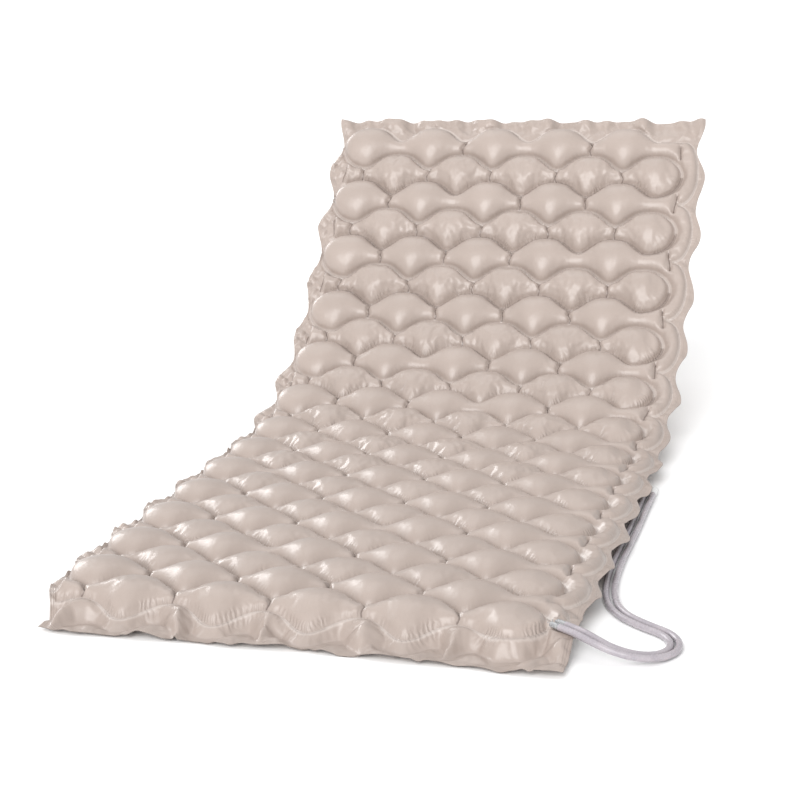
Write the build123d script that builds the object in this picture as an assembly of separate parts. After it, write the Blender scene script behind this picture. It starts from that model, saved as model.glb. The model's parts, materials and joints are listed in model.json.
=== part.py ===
from build123d import *
import os
from math import cos, pi, radians, sin, tan

# Alternating-pressure bubble mattress. Two PVC films are welded together along wavy lines, which
# leaves rows of air cells strung together like beads. The weld lines are the hinges of the pad: it
# lies flat up to the fold and climbs the raised backrest of the bed above it.
#
# Frame: X across the pad, +Y from the foot end to the head end, +Z up, origin at the middle of the
# footprint, on the surface that the pad lies on. All sizes are in millimetres. The geometry is first
# laid out with Y = 0 at the foot weld line, and moved to the origin when it is written.

# Driving dimensions of the pad
CELL_PITCH = 140.0  # from one air cell to the next, across the pad
ROW_PITCH = 70.0  # from one weld line to the next, along the pad
ROW_COUNT = 26
CELLS_PER_ROW = 5
FILM = 0.8  # the two welded films together
MID_HEIGHT = 28.0  # the weld plane above the surface
CROWN_A = 32.0  # crown of a fully blown cell above the weld plane
CROWN_B = 27.0  # crown of a softer cell
WAVE = 16.0  # how far a weld line swings to each side of its straight line
WAVE_FLAT = 16.0  # half length of the flat stretch at the top of each swing
SEAM = 2.5  # half width of the flat weld band beside a cell
GAP = 0.3  # clearance on each side of a weld line that acts as a hinge

# Places across the pad, as distances from its middle line
HALF_WIDTH = 413.0
MID_PITCH = 2.85  # the middle line, in cell pitches from the first cell's outer side
LEFT_DUCT_INNER = -385.0
LEFT_DUCT_OUTER = -404.0
RIGHT_DUCT_INNER = 360.0
RIGHT_DUCT_OUTER = 392.0
RIGHT_BORDER_START = 60.0  # the right border stops short of the hose ports
RIGHT_DUCT_START = 40.0
LEFT_DUCT_START = 20.0

# The fold: the weld lines that hinge, and the angle that each adds at rest
FIRST_HINGE = 13
LAST_HINGE = 20
HINGE_STEP = 6.0

# End borders
FOOT_BORDER = 50.0
FOOT_BORDER_DROP = 24.0
BORDER_FLAT = 22.0
HEAD_BORDER = 40.0

# Hose ports and hoses
PORT_HEADING = -35.0
PORT_SPACING = 13.0
PORT_LENGTH = 15.8
PORT_ROOT = 8.0  # length of the stub gripped inside the films
PORT_RADIUS = 4.0
PORT_BORE = 2.5
BARB_RADIUS = 4.7
BARB_PITCH = 5.0
PORT_START = (366.0, 41.0)
PORT_HEIGHT = 34.0
HOSE_RADIUS = 5.0
ARC_SHARE = 0.45
CONNECTOR_RADIUS = 6.3
CONNECTOR_LENGTH = 32.0
CONNECTOR_BORE = 3.5
CONNECTOR_DEPTH = 20.0

# Routes of the two hoses, from the stub to the connector: out over the corner of the pad, down to
# the surface, round a half turn and back along it under the right border.
HOSE_A_ROUTE = [
    (379.1, 31.7, 34.0),
    (402.0, 16.0, 33.6),
    (423.0, 2.0, 29.5),
    (449.0, -8.0, 21.0),
    (479.0, -4.0, 12.5),
    (504.0, 12.0, 7.5),
    (518.0, 39.0, 5.6),
    (518.0, 68.0, 5.4),
    (503.0, 96.0, 5.4),
    (471.0, 119.0, 5.4),
    (433.0, 156.0, 5.4),
    (406.0, 210.0, 5.4),
    (393.0, 294.0, 5.4),
    (389.0, 403.0, 5.4),
    (391.0, 525.0, 5.4),
    (390.0, 651.0, 6.4),
    (390.0, 763.0, 6.4),
]
HOSE_B_ROUTE = [
    (371.6, 21.1, 34.0),
    (395.0, 5.0, 33.6),
    (417.0, -10.0, 29.5),
    (448.0, -20.0, 21.0),
    (483.0, -17.0, 12.5),
    (513.0, 4.0, 7.5),
    (530.0, 35.0, 5.6),
    (530.0, 72.0, 5.4),
    (513.0, 104.0, 5.4),
    (480.0, 129.0, 5.4),
    (443.0, 163.0, 5.4),
    (419.0, 214.0, 5.4),
    (406.0, 295.0, 5.4),
    (402.0, 403.0, 5.4),
    (404.0, 525.0, 5.4),
    (403.0, 651.0, 6.4),
    (403.0, 763.0, 6.4),
]


# ---------------------------------------------------------------- layout of the cells and the fold


def across(pitches):
    """Distance from the middle line of a place given in cell pitches."""
    return (pitches - MID_PITCH) * CELL_PITCH


def first_cell(row):
    """Place of a row's first cell, in pitches: odd rows start half a pitch nearer the left side."""
    return 0.5 if row % 2 else 1.0


def hinges_below(row):
    """How many hinging weld lines lie between the foot end and this row."""
    return max(0, min(row, LAST_HINGE) - FIRST_HINGE + 1)


def row_place(row):
    """Start of a row at rest: the Y and Z of its lower weld line, and its tilt in degrees."""
    y = 0.0
    z = MID_HEIGHT
    for below in range(row):
        tilt = radians(HINGE_STEP * hinges_below(below))
        y += ROW_PITCH * cos(tilt)
        z += ROW_PITCH * sin(tilt)
    return y, z, HINGE_STEP * hinges_below(row)


def at_row(shape, row):
    """A shape drawn flat from the row's lower weld line, moved to that row's place at rest."""
    y, z, tilt = row_place(row)
    return Pos(0, y, z) * Rot(tilt, 0, 0) * shape


def weld_line(row, y, left, right):
    """Points of a weld line at height y on the flat pad. It dips round the cells of the row above it."""
    points = []
    for step in range(2 * CELLS_PER_ROW + 3):
        place = step / 2
        dips = (place - first_cell(row)) % 1.0 == 0.0
        swing = -WAVE if dips else WAVE
        points.append((across(place) - WAVE_FLAT, y + swing))
        points.append((across(place) + WAVE_FLAT, y + swing))
    inside = [p for p in points if left < p[0] < right]
    return [(left, height_at(points, left)), *inside, (right, height_at(points, right))]


def height_at(points, x):
    """Height of a broken line at x."""
    for (x0, y0), (x1, y1) in zip(points, points[1:]):
        if x0 <= x <= x1:
            return y0 + (y1 - y0) * (x - x0) / (x1 - x0)
    raise ValueError("x is outside the line")


# ------------------------------------------------------------------------------ cells and their rows


def cell(crown):
    """One air cell: an eight-sided cushion on its middle plane, crowned above and flat below."""
    half_long = CELL_PITCH / 2 - WAVE_FLAT
    half_deep = ROW_PITCH / 2 + WAVE - SEAM
    half_neck = ROW_PITCH / 2 - WAVE - SEAM
    corners = [
        (WAVE_FLAT, -half_deep),
        (half_long, -half_neck),
        (half_long, half_neck),
        (WAVE_FLAT, half_deep),
        (-WAVE_FLAT, half_deep),
        (-half_long, half_neck),
        (-half_long, -half_neck),
        (-WAVE_FLAT, -half_deep),
    ]
    levels = [
        (-MID_HEIGHT, 0.55),
        (-0.55 * MID_HEIGHT, 0.86),
        (0.0, 1.0),
        (0.55 * crown, 0.84),
        (crown, 0.42),
    ]
    sections = [
        Pos(0, 0, height) * make_face(Polyline(*[(x * size, y * size) for x, y in corners], close=True))
        for height, size in levels
    ]
    return loft(sections, ruled=True)


def neck(left, right, crown):
    """The narrow tube between two cells."""
    half = ROW_PITCH / 2 - WAVE - SEAM
    outline = [
        (-0.5 * half, -0.5 * MID_HEIGHT),
        (0.5 * half, -0.5 * MID_HEIGHT),
        (half, 0.0),
        (0.5 * half, 0.5 * crown),
        (-0.5 * half, 0.5 * crown),
        (-half, 0.0),
    ]
    face = Plane.YZ.offset(left) * make_face(Polyline(*outline, close=True))
    return extrude(face, amount=right - left)


def cell_row(row):
    """One row drawn flat from its lower weld line: welded film, five cells, and the necks that join
    them to each other and to the air duct that feeds the row."""
    crown = CROWN_A if row % 2 else CROWN_B
    left = LEFT_DUCT_INNER + GAP
    right = RIGHT_DUCT_INNER - GAP
    lower = weld_line(row, GAP, left, right)
    upper = weld_line(row + 1, ROW_PITCH - GAP, left, right)
    film = extrude(make_face(Polyline(*lower, *reversed(upper), close=True)), amount=FILM / 2, both=True)
    centres = [across(first_cell(row) + n) for n in range(CELLS_PER_ROW)]
    reach = CELL_PITCH / 4
    solid = film
    for x in centres:
        solid += Pos(x, ROW_PITCH / 2, 0) * cell(crown)
    for x0, x1 in zip(centres, centres[1:]):
        solid += Pos(0, ROW_PITCH / 2, 0) * neck(x0 + reach, x1 - reach, crown)
    if row % 2:
        solid += Pos(0, ROW_PITCH / 2, 0) * neck(centres[-1] + reach, right, crown)
    else:
        solid += Pos(0, ROW_PITCH / 2, 0) * neck(left, centres[0] - reach, crown)
    return solid


# ------------------------------------------------------------------------- side ducts and end borders


def duct(inner, outer, half_height, start, end):
    """An air duct along the pad's side: a flattened six-sided tube."""
    quarter = (outer - inner) / 4
    outline = [
        (inner, -0.25 * half_height),
        (inner + quarter, -half_height),
        (outer - quarter, -half_height),
        (outer, -0.25 * half_height),
        (outer, 0.25 * half_height),
        (outer - quarter, half_height),
        (inner + quarter, half_height),
        (inner, 0.25 * half_height),
    ]
    face = Plane.XZ.offset(-start) * make_face(Polyline(*outline, close=True))
    return extrude(face, amount=-(end - start))


def strip(x0, x1, y0, y1):
    """A flat strip of welded film on the weld plane."""
    return Pos((x0 + x1) / 2, (y0 + y1) / 2, 0) * Box(x1 - x0, y1 - y0, FILM)


def right_side(rows, at_foot):
    """The duct that feeds the odd rows, with the right border. Ends stand clear of the hinge lines."""
    length = rows * ROW_PITCH
    duct_end = 5 * GAP
    start = RIGHT_DUCT_START if at_foot else duct_end
    border_start = RIGHT_BORDER_START if at_foot else GAP
    tube = duct(RIGHT_DUCT_INNER, RIGHT_DUCT_OUTER, 13.0, start, length - duct_end)
    border = strip(RIGHT_DUCT_OUTER - 2.0, HALF_WIDTH, border_start, length - GAP)
    return tube + border


def left_side(rows, at_foot):
    """The duct that feeds the even rows, with the left border. It is softer and flatter."""
    length = rows * ROW_PITCH
    duct_end = 5 * GAP
    start = LEFT_DUCT_START if at_foot else duct_end
    tube = duct(LEFT_DUCT_OUTER, LEFT_DUCT_INNER, 7.0, start, length - duct_end)
    border = strip(-HALF_WIDTH, LEFT_DUCT_OUTER + 2.0, GAP, length - GAP)
    return tube + border


def foot_border():
    """The welded strip beyond the first row. Past a short flat stretch it falls towards the bed."""
    left = -HALF_WIDTH
    right = RIGHT_DUCT_OUTER
    edge = weld_line(0, -GAP, LEFT_DUCT_INNER + GAP, RIGHT_DUCT_INNER - GAP)
    outline = [
        (left, -BORDER_FLAT),
        (right, -BORDER_FLAT),
        (right, -GAP),
        (RIGHT_DUCT_INNER - GAP, -GAP),
        *reversed(edge),
        (LEFT_DUCT_INNER + GAP, -GAP),
        (left, -GAP),
    ]
    flat = extrude(make_face(Polyline(*outline, close=True)), amount=FILM / 2, both=True)
    half = FILM / 2
    fall = [
        (-BORDER_FLAT, half),
        (-BORDER_FLAT, -half),
        (-FOOT_BORDER, -FOOT_BORDER_DROP - half),
        (-FOOT_BORDER, -FOOT_BORDER_DROP + half),
    ]
    face = Plane.YZ.offset(left) * make_face(Polyline(*fall, close=True))
    return flat + extrude(face, amount=right - left)


def head_border():
    """The welded strip beyond the last row, drawn flat from the head weld line."""
    left = -HALF_WIDTH
    right = HALF_WIDTH
    edge = weld_line(ROW_COUNT, GAP, LEFT_DUCT_INNER + GAP, RIGHT_DUCT_INNER - GAP)
    outline = [
        (left, GAP),
        (LEFT_DUCT_INNER + GAP, GAP),
        *edge,
        (RIGHT_DUCT_INNER - GAP, GAP),
        (right, GAP),
        (right, HEAD_BORDER),
        (left, HEAD_BORDER),
    ]
    return extrude(make_face(Polyline(*outline, close=True)), amount=FILM / 2, both=True)


# ---------------------------------------------------------------------- ports, hoses and connectors


def port_stub(x, y):
    """A clear barbed stub that leaves the films at x, y. The hose butts against its last barb."""
    heading = radians(PORT_HEADING)
    direction = (cos(heading), sin(heading), 0)
    root = (x - PORT_ROOT * direction[0], y - PORT_ROOT * direction[1], PORT_HEIGHT)
    length = PORT_ROOT + PORT_LENGTH
    place = Plane(origin=root, z_dir=direction)
    outline = [(PORT_BORE, 0.0), (PORT_RADIUS, 0.0)]
    barb = PORT_ROOT
    while barb + BARB_PITCH <= length:
        outline.append((PORT_RADIUS, barb))
        outline.append((BARB_RADIUS, barb + 0.2 * BARB_PITCH))
        outline.append((PORT_RADIUS, barb + 0.8 * BARB_PITCH))
        barb += BARB_PITCH
    outline += [(PORT_RADIUS, length), (PORT_BORE, length)]
    section = Plane.XZ * make_face(Polyline(*outline, close=True))
    return place * revolve(section, Axis.Z)


def hose_path(points):
    """Straight runs joined by the largest arcs that the runs allow, and the radii of those arcs."""
    vectors = [Vector(*p) for p in points]
    radii = []
    for before, here, after in zip(vectors, vectors[1:], vectors[2:]):
        turn = radians((here - before).get_angle(after - here))
        shorter = min((here - before).length, (after - here).length)
        radii.append(ARC_SHARE * shorter / tan(turn / 2))
    return FilletPolyline(*vectors, radius=radii), radii


def hose(name, points):
    """A free hose along its route."""
    path, radii = hose_path(points)
    section = Plane(origin=path @ 0, z_dir=path % 0) * Circle(HOSE_RADIUS)
    tube = sweep(section, path=path)
    expected = pi * HOSE_RADIUS**2 * path.length
    print(name, "length", round(path.length, 1), "radii", [round(r) for r in radii])
    print(name, "volume against section times length", round(tube.volume / expected, 5))
    return tube


def connector(points):
    """The push-on end of a hose: a ribbed cuff with a blind bore that takes the pump's spigot."""
    end = Vector(*points[-1])
    direction = (end - Vector(*points[-2])).normalized()
    place = Plane(origin=end, z_dir=direction)
    outline = [
        (0.0, 0.0),
        (CONNECTOR_RADIUS - 1.5, 0.0),
        (CONNECTOR_RADIUS, 3.0),
        (CONNECTOR_RADIUS, 10.0),
        (CONNECTOR_RADIUS - 1.0, 11.0),
        (CONNECTOR_RADIUS - 1.0, 13.0),
        (CONNECTOR_RADIUS, 14.0),
        (CONNECTOR_RADIUS, CONNECTOR_LENGTH - 1.0),
        (CONNECTOR_RADIUS - 1.0, CONNECTOR_LENGTH),
        (CONNECTOR_BORE, CONNECTOR_LENGTH),
        (CONNECTOR_BORE, CONNECTOR_LENGTH - CONNECTOR_DEPTH),
        (0.0, CONNECTOR_LENGTH - CONNECTOR_DEPTH),
    ]
    mouth = end + direction * CONNECTOR_LENGTH
    print("connector mouth", [round(v, 3) for v in mouth], "axis", [round(v, 5) for v in direction])
    section = Plane.XZ * make_face(Polyline(*outline, close=True))
    return place * revolve(section, Axis.Z)


# -------------------------------------------------------------------------------------- the whole pad


def build_pad():
    """Every piece of the pad itself, by node name."""
    pieces = {}
    flat_rows = {0: cell_row(0), 1: cell_row(1)}
    for row in range(ROW_COUNT):
        pieces[f"air_cell_row_{row + 1:02d}"] = at_row(flat_rows[row % 2], row)
    sections = [("foot", 0, FIRST_HINGE)]
    sections += [(f"fold_{n + 1}", FIRST_HINGE + n, 1) for n in range(LAST_HINGE - FIRST_HINGE)]
    sections += [("back", LAST_HINGE, ROW_COUNT - LAST_HINGE)]
    for name, row, rows in sections:
        pieces[f"right_air_duct_{name}"] = at_row(right_side(rows, name == "foot"), row)
        pieces[f"left_air_duct_{name}"] = at_row(left_side(rows, name == "foot"), row)
    pieces["foot_border"] = at_row(foot_border(), 0)
    pieces["head_border"] = at_row(head_border(), ROW_COUNT)
    return pieces


def build_hoses():
    """The two ports, and the hoses with their connectors, by node name."""
    heading = radians(PORT_HEADING)
    beside = (-sin(heading), cos(heading))
    x_a, y_a = PORT_START
    x_b = x_a - PORT_SPACING * beside[0]
    y_b = y_a - PORT_SPACING * beside[1]
    return {
        "port_stub_a": port_stub(x_a, y_a),
        "port_stub_b": port_stub(x_b, y_b),
        "hose_a": hose("hose_a", HOSE_A_ROUTE),
        "hose_b": hose("hose_b", HOSE_B_ROUTE),
        "hose_connector_a": connector(HOSE_A_ROUTE),
        "hose_connector_b": connector(HOSE_B_ROUTE),
    }


def write(pieces, middle):
    """One file per piece, moved so that the origin is at the middle of the footprint."""
    os.makedirs("parts", exist_ok=True)
    for name, shape in pieces.items():
        export_step(Pos(0, -middle, 0) * shape, f"parts/{name}.step")


pad = build_pad()
boxes = [shape.bounding_box() for shape in pad.values()]
foot_edge = min(box.min.Y for box in boxes)
head_edge = max(box.max.Y for box in boxes)
middle = (foot_edge + head_edge) / 2
print("footprint from", round(foot_edge, 3), "to", round(head_edge, 3), "middle", round(middle, 4))
for hinge in range(FIRST_HINGE, LAST_HINGE + 1):
    y, z, tilt = row_place(hinge)
    print("hinge", hinge, "y", round(y - middle, 4), "z", round(z, 4), "tilt", tilt)
write({**pad, **build_hoses()}, middle)
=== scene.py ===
"""Alternating-pressure bubble mattress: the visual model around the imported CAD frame.

The film is made the way the real one is. Its two PVC sheets are laid out flat with their weld lines,
the top sheet is blown up by a cloth simulation while the welds stay where they are, and the result is
bent along the fold and cut along its weld lines into one piece for each row, duct and border.
"""

import json
import math

import bpy
import numpy as np
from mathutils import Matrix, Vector, geometry, kdtree


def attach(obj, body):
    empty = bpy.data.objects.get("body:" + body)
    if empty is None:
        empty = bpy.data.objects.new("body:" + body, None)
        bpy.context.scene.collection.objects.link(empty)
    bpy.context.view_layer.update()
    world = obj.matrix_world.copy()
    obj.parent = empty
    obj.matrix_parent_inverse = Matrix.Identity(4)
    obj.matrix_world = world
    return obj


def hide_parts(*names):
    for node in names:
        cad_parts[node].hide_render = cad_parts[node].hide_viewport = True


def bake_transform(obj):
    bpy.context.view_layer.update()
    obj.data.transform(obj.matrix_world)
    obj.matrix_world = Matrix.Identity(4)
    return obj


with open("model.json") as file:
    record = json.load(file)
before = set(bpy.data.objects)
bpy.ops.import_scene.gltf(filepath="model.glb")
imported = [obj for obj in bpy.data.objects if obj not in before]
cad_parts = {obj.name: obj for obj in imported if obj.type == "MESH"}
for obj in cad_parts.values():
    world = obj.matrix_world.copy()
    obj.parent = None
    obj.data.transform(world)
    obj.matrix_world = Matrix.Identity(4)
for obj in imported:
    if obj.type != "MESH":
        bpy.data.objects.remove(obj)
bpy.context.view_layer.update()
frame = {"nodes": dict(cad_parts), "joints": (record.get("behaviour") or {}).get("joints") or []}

# ------------------------------------------------------------------------------- sizes, in metres

hinges = [Vector(joint["pos_m"]) for joint in frame["joints"]]
FIRST_HINGE = 13  # the weld line that folds first, counted from the foot end
HINGE_STEP = math.radians(6.0)  # angle at each hinge at rest
ROW_PITCH = (hinges[1] - hinges[0]).length
MID_HEIGHT = hinges[0].z  # the weld plane above the surface
FOOT_Y = hinges[0].y - FIRST_HINGE * ROW_PITCH  # the foot weld line
ROW_COUNT = 26
CELL_PITCH = 2.0 * ROW_PITCH
MID_PITCH = 2.85  # the pad's middle line, in cell pitches from the first cell's outer side

SWING = 0.017  # how far a weld line swings to each side of its straight line
SHARPNESS = 0.18  # share of a second wave, which narrows the dips and widens the rises
BAND = 0.004  # width of the flat weld beside a cell
END_RUN = 0.056  # from an end cell's middle to its rounded end
LOWER_HALF = ROW_PITCH / 2 + SWING * (1 + SHARPNESS)
UPPER_HALF = ROW_PITCH / 2 + SWING * (1 - SHARPNESS)
WIDEST = ROW_PITCH + 2 * SWING  # the span of a cell between its weld lines

LOOP_START = 0.357  # the right duct loops round the end cells beyond this X
LOOP_RUN = 0.031
LOOP_HALF = 0.068
TOP_LOOP_HALF = 0.088
PORT_LOOP_RUN = 0.022

FOOT_HEM = -0.058  # the hems, along the film from the foot weld line
HEAD_HEM = ROW_COUNT * ROW_PITCH + 0.040
FOOT_DROP = 0.0265  # from the weld plane down to the foot strip's hem
FOOT_SAG = 0.015  # how far the foot weld line hangs under the middle of a cell
TENT_HALF = 0.21  # half the width of the foot strip's tents, in cell pitches
TENT_OFFSET = 0.57  # where a tent stands, in cell pitches from the middle of a cell
SHORT_SLOPE = 0.020  # run of the foot strip's slope between two tents
TENT_SLOPE = 0.050  # how much longer it is along a tent
TENT_RIDGE = 0.010

CROWN_FULL = 0.30  # height of an odd row's film before the simulation, as a share of its width
CROWN_SLACK = 0.245  # the same for an even row
CROWN_POWER = 0.65  # how the height follows the width from the neck to the middle of a cell
SKEW_FULL = 1.2  # above 1, the crest lies nearer to a cell's upper weld line
SKEW_SLACK = 1.35
SECTION_POWER = 2.4
PLUMP = 0.55  # the smaller, the steeper a cell rises from its welds
GENTLE = 0.78
RAISED_FROM = 0.80  # s where the slack cells begin to lie gently
DUCT_HEIGHT = 0.0120
DUCT_HALF = 0.0135  # half the width of the duct's tube

GRID = 0.0036
CLOTH_FRAMES = 12
PRESSURE = 40.0
STIFFNESS = 15.0
BENDING = 0.01
GROWTH = 0.08  # how much the slackest film is larger than its start shape
SHEET = 0.0008  # both films together, where they are pressed flat

PLEAT_PITCH = 0.0075  # from pleat to pleat along a weld
PLEAT_HEIGHT = 0.0005
FOLD_PITCH = 0.0165  # the same for the larger folds of the even rows
FOLD_HEIGHT = 0.0025

PORT_HEADING = math.radians(-35.0)
PORT_SPACING = 0.013
PORT_A = (0.366, 0.041)  # X and s where the first port stub leaves the films

CAMERA_AZIMUTH = math.radians(-15.14)
CAMERA_DOWN = math.radians(13.64)
CAMERA_ROLL = math.radians(-1.2)
CAMERA_PLACE = (0.7908, -3.1353, 0.934)
CAMERA_LENS = 83.73
FLOOR_HALF = 200.0

# Colours of the film: its body from darker to lighter, fine specks, pressed welds, and the painted shade of
# the deep lines between rows and of the creases.
FILM_DARKER = (0.372, 0.308, 0.274, 1.0)
FILM_LIGHTER = (0.398, 0.330, 0.294, 1.0)
FILM_SPECK = (0.345, 0.282, 0.249, 1.0)
FILM_WELD = (0.57, 0.51, 0.475, 1.0)
# Painted shade: the dark line laid along a weld that sits deep between two rows of cells.
FILM_GROOVE_SHADE = (0.15, 0.112, 0.097, 1.0)
# Painted shade: the dark colour laid into the creases across the necks.
FILM_CREASE_SHADE = (0.16, 0.12, 0.105, 1.0)

# Where a neck is a smooth hump and not creased: (row, neck), both counted from the foot and the left.
SMOOTH_NECKS = {(25, 1), (25, 3), (23, 2), (21, 4), (17, 2), (15, 3), (9, 1), (5, 3), (3, 2)}

# Routes of the hoses, in metres from the foot weld line, as in the CAD model.
HOSE_A_ROUTE = [
    (0.3791, 0.0317, 0.0340),
    (0.4020, 0.0160, 0.0336),
    (0.4230, 0.0020, 0.0295),
    (0.4490, -0.0080, 0.0210),
    (0.4790, -0.0040, 0.0125),
    (0.5040, 0.0120, 0.0075),
    (0.5180, 0.0390, 0.0056),
    (0.5180, 0.0680, 0.0054),
    (0.5030, 0.0960, 0.0054),
    (0.4710, 0.1190, 0.0054),
    (0.4330, 0.1560, 0.0054),
    (0.4060, 0.2100, 0.0054),
    (0.3930, 0.2940, 0.0054),
    (0.3890, 0.4030, 0.0054),
    (0.3910, 0.5250, 0.0054),
    (0.3900, 0.6510, 0.0064),
    (0.3900, 0.7630, 0.0064),
]
HOSE_B_ROUTE = [
    (0.3716, 0.0211, 0.0340),
    (0.3950, 0.0050, 0.0336),
    (0.4170, -0.0100, 0.0295),
    (0.4480, -0.0200, 0.0210),
    (0.4830, -0.0170, 0.0125),
    (0.5130, 0.0040, 0.0075),
    (0.5300, 0.0350, 0.0056),
    (0.5300, 0.0720, 0.0054),
    (0.5130, 0.1040, 0.0054),
    (0.4800, 0.1290, 0.0054),
    (0.4430, 0.1630, 0.0054),
    (0.4190, 0.2140, 0.0054),
    (0.4060, 0.2950, 0.0054),
    (0.4020, 0.4030, 0.0054),
    (0.4040, 0.5250, 0.0054),
    (0.4030, 0.6510, 0.0064),
    (0.4030, 0.7630, 0.0064),
]
HOSE_DIAMETER = 0.010

# Region codes of the triangles that aren't in a row.
RIGHT_SIDE, LEFT_SIDE, FOOT_STRIP, HEAD_STRIP = 101, 102, 103, 104


# ----------------------------------------------------------------------------- camera and stage


def make_camera():
    """The viewing angle: from the foot end, right of the pad and a little above it."""
    forward = Vector(
        (
            math.sin(CAMERA_AZIMUTH) * math.cos(CAMERA_DOWN),
            math.cos(CAMERA_AZIMUTH) * math.cos(CAMERA_DOWN),
            -math.sin(CAMERA_DOWN),
        )
    )
    level = forward.cross(Vector((0, 0, 1))).normalized()
    upright = level.cross(forward)
    right = math.cos(CAMERA_ROLL) * level + math.sin(CAMERA_ROLL) * upright
    up = -math.sin(CAMERA_ROLL) * level + math.cos(CAMERA_ROLL) * upright
    data = bpy.data.cameras.new("camera")
    data.lens = CAMERA_LENS
    data.sensor_width = 36.0
    camera = bpy.data.objects.new("camera", data)
    bpy.context.scene.collection.objects.link(camera)
    matrix = camera.matrix_world.copy()
    for i in range(3):
        matrix[i][0], matrix[i][1], matrix[i][2] = right[i], up[i], -forward[i]
        matrix[i][3] = CAMERA_PLACE[i]
    camera.matrix_world = matrix
    bpy.context.scene.camera = camera


def make_floor():
    """A wide pale floor under the pad."""
    corners = [(-1, -1), (1, -1), (1, 1), (-1, 1)]
    mesh = bpy.data.meshes.new("floor")
    points = [(x * FLOOR_HALF, y * FLOOR_HALF, -0.0005) for x, y in corners]
    mesh.from_pydata(points, [], [(0, 1, 2, 3)])
    floor = bpy.data.objects.new("floor", mesh)
    bpy.context.scene.collection.objects.link(floor)
    material, *_, shader = new_material("floor_white")
    shader.inputs["Base Color"].default_value = (0.95, 0.95, 0.95, 1.0)
    shader.inputs["Roughness"].default_value = 0.9
    floor.data.materials.append(material)


def aim(light, direction):
    """Points a light along a direction."""
    bpy.context.scene.collection.objects.link(light)
    light.rotation_mode = "QUATERNION"
    light.rotation_quaternion = Vector(direction).to_track_quat("-Z", "Y")


def make_lights():
    """A soft studio: broad even light from the front, from above and from behind on the left, and a
    white surround."""
    for name, towards, spread, strength in (
        ("front_light", (0.08, 0.843, -0.53), 46.0, 2.60),
        ("top_light", (0.2, -0.3, -1.0), 40.0, 0.35),
        ("back_light", (0.75, -0.6, -0.40), 25.0, 0.85),
    ):
        data = bpy.data.lights.new(name, "SUN")
        data.energy = strength
        data.angle = math.radians(spread)
        aim(bpy.data.objects.new(name, data), towards)
    world = bpy.data.worlds.new("studio")
    bpy.context.scene.world = world
    world.use_nodes = True
    background = world.node_tree.nodes["Background"]
    background.inputs["Color"].default_value = (1.0, 1.0, 1.0, 1.0)
    background.inputs["Strength"].default_value = 0.75
    bpy.context.scene.view_settings.view_transform = "Standard"


# ------------------------------------------------------------------------------------ materials


def new_material(name):
    """An empty node material with its shader: (material, nodes, links, shader)."""
    material = bpy.data.materials.new(name)
    material.use_nodes = True
    nodes, links = material.node_tree.nodes, material.node_tree.links
    return material, nodes, links, nodes["Principled BSDF"]


def attribute(nodes, name):
    """The output socket of a vertex attribute."""
    node = nodes.new("ShaderNodeAttribute")
    node.attribute_name = name
    return node.outputs["Fac"]


def ramp(nodes, links, value, low, high, start, end):
    """A value mapped from low..high to start..end."""
    node = nodes.new("ShaderNodeMapRange")
    node.interpolation_type = "SMOOTHSTEP"
    node.inputs["From Min"].default_value = low
    node.inputs["From Max"].default_value = high
    node.inputs["To Min"].default_value = start
    node.inputs["To Max"].default_value = end
    links.new(value, node.inputs["Value"])
    return node.outputs["Result"]


def noise(nodes, links, position, scale, detail=3.0):
    """A noise value at a scale, in the material's own place."""
    node = nodes.new("ShaderNodeTexNoise")
    node.inputs["Scale"].default_value = scale
    node.inputs["Detail"].default_value = detail
    links.new(position, node.inputs["Vector"])
    return node.outputs["Fac"]


def mix(nodes, links, share, first, second):
    """Two colours mixed by a share, each a socket or a colour."""
    node = nodes.new("ShaderNodeMix")
    node.data_type = "RGBA"
    links.new(share, node.inputs["Factor"])
    for socket, value in ((node.inputs[6], first), (node.inputs[7], second)):
        if isinstance(value, tuple):
            socket.default_value = value
        else:
            links.new(value, socket)
    return node.outputs[2]


def bump(nodes, links, height, distance, strength, below=None):
    """A bump from a height value, on top of another bump."""
    node = nodes.new("ShaderNodeBump")
    node.inputs["Distance"].default_value = distance
    node.inputs["Strength"].default_value = strength
    links.new(height, node.inputs["Height"])
    if below is not None:
        links.new(below, node.inputs["Normal"])
    return node.outputs["Normal"]


def calculate(nodes, links, operation, first, second=0.0):
    """A Math node of two values, each a socket or a number. A sine takes only the first."""
    node = nodes.new("ShaderNodeMath")
    node.operation = operation
    for socket, value in zip(node.inputs, (first, second)):
        if isinstance(value, float):
            socket.default_value = value
        else:
            links.new(value, socket)
    return node.outputs[0]


def pleats(nodes, links, position):
    """The height in metres of the small pleats that fan out from the welds of slack film."""
    wander = calculate(nodes, links, "MULTIPLY", noise(nodes, links, position, 38.0), 16.0)
    turns = calculate(nodes, links, "MULTIPLY", attribute(nodes, "along"), 2 * math.pi / PLEAT_PITCH)
    swing = calculate(nodes, links, "SINE", calculate(nodes, links, "ADD", turns, wander))
    reach = ramp(nodes, links, attribute(nodes, "weld"), 0.004, 0.015, 1.0, 0.0)
    patchy = ramp(nodes, links, noise(nodes, links, position, 26.0, 1.0), 0.42, 0.62, 0.0, 1.0)
    height = calculate(nodes, links, "MULTIPLY", swing, PLEAT_HEIGHT)
    height = calculate(nodes, links, "MULTIPLY", height, reach)
    height = calculate(nodes, links, "MULTIPLY", height, patchy)
    return calculate(nodes, links, "MULTIPLY", height, attribute(nodes, "slack"))


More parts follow.
